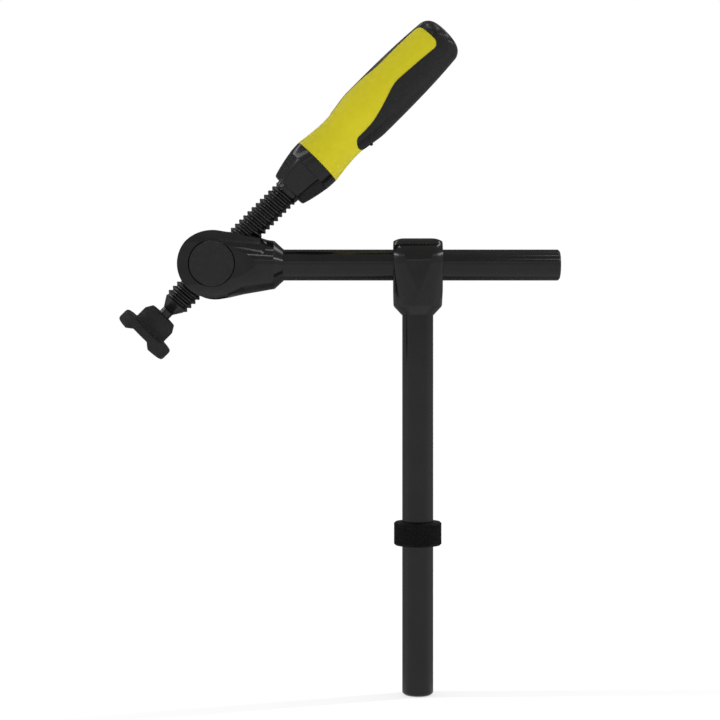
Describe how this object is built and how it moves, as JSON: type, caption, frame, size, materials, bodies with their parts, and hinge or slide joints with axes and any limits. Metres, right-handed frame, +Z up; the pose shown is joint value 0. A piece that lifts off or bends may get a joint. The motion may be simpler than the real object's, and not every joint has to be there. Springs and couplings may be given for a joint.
{
  "type": "welding_table_screw_clamp",
  "caption": "Welding table screw clamp: round post with stop collar, sliding arm in a T head, tilting threaded spindle with swivel pad and two-colour handle",
  "frame": {"origin": "on the axis of the post in the plane of the table, which is the underside of the stop collar", "axes": "+Z up the post, +X along the arm to its free end, the spindle leans in the XZ plane with its pad at -X"},
  "size_m": [0.2255, 0.0308, 0.345],
  "materials": {
    "blackened_steel": "blackened, smooth satin",
    "knurled_steel": "blackened, fine diamond knurl",
    "spring_steel": "bright drawn",
    "ring_rubber": "matt",
    "yellow_plastic": "moulded satin",
    "grip_rubber": "soft moulded, matt"
  },
  "bodies": {
    "base": {"post": "blackened_steel", "t_head": "blackened_steel", "post_pin": "spring_steel"},
    "collar": {"stop_collar": "knurled_steel", "collar_ring": "ring_rubber"},
    "arm_rings": {"arm_ring_left": "ring_rubber", "arm_ring_right": "ring_rubber"},
    "arm": {"arm_bar": "blackened_steel", "spindle_head": "blackened_steel", "arm_pin": "spring_steel"},
    "barrel": {"barrel_nut": "blackened_steel"},
    "carrier": {"pad_clip": "spring_steel"},
    "screw": {"spindle": "blackened_steel", "handle_ferrule": "blackened_steel", "handle_core": "yellow_plastic", "handle_grip": "grip_rubber", "handle_pin": "spring_steel"},
    "pad": {"pressure_pad": "blackened_steel"}
  },
  "joints": [
    {"name": "collar_slide", "type": "slide", "parent": "base", "child": "collar", "axis": [0, 0, 1], "range_m": [-0.06, 0.1]},
    {"name": "arm_roll", "type": "hinge", "parent": "base", "child": "arm_rings", "pos_m": [0, 0, 0.1435], "axis": [1, 0, 0], "range_deg": [-135, 135]},
    {"name": "arm_slide", "type": "slide", "parent": "arm_rings", "child": "arm", "axis": [1, 0, 0], "range_m": [-0.057, 0.054]},
    {"name": "spindle_tilt", "type": "hinge", "parent": "arm", "child": "barrel", "pos_m": [-0.1045, 0, 0.1435], "axis": [0, -1, 0], "range_deg": [0, 45]},
    {"name": "spindle_feed", "type": "slide", "parent": "barrel", "child": "carrier", "axis": [-0.7071, 0, -0.7071], "range_m": [-0.0181, 0.0241]},
    {"name": "spindle_turn", "type": "hinge", "parent": "carrier", "child": "screw", "pos_m": [-0.1045, 0, 0.1435], "axis": [-0.7071, 0, -0.7071], "range_deg": [-2160, 2880]},
    {"name": "pad_tilt", "type": "hinge", "parent": "carrier", "child": "pad", "pos_m": [-0.13526, 0, 0.11274], "axis": [0, 1, 0], "range_deg": [-10, 10]}
  ],
  "couplings": [
    {"joint": "spindle_feed", "follows": "spindle_turn", "m_per_rad": 0.00047746}
  ]
}
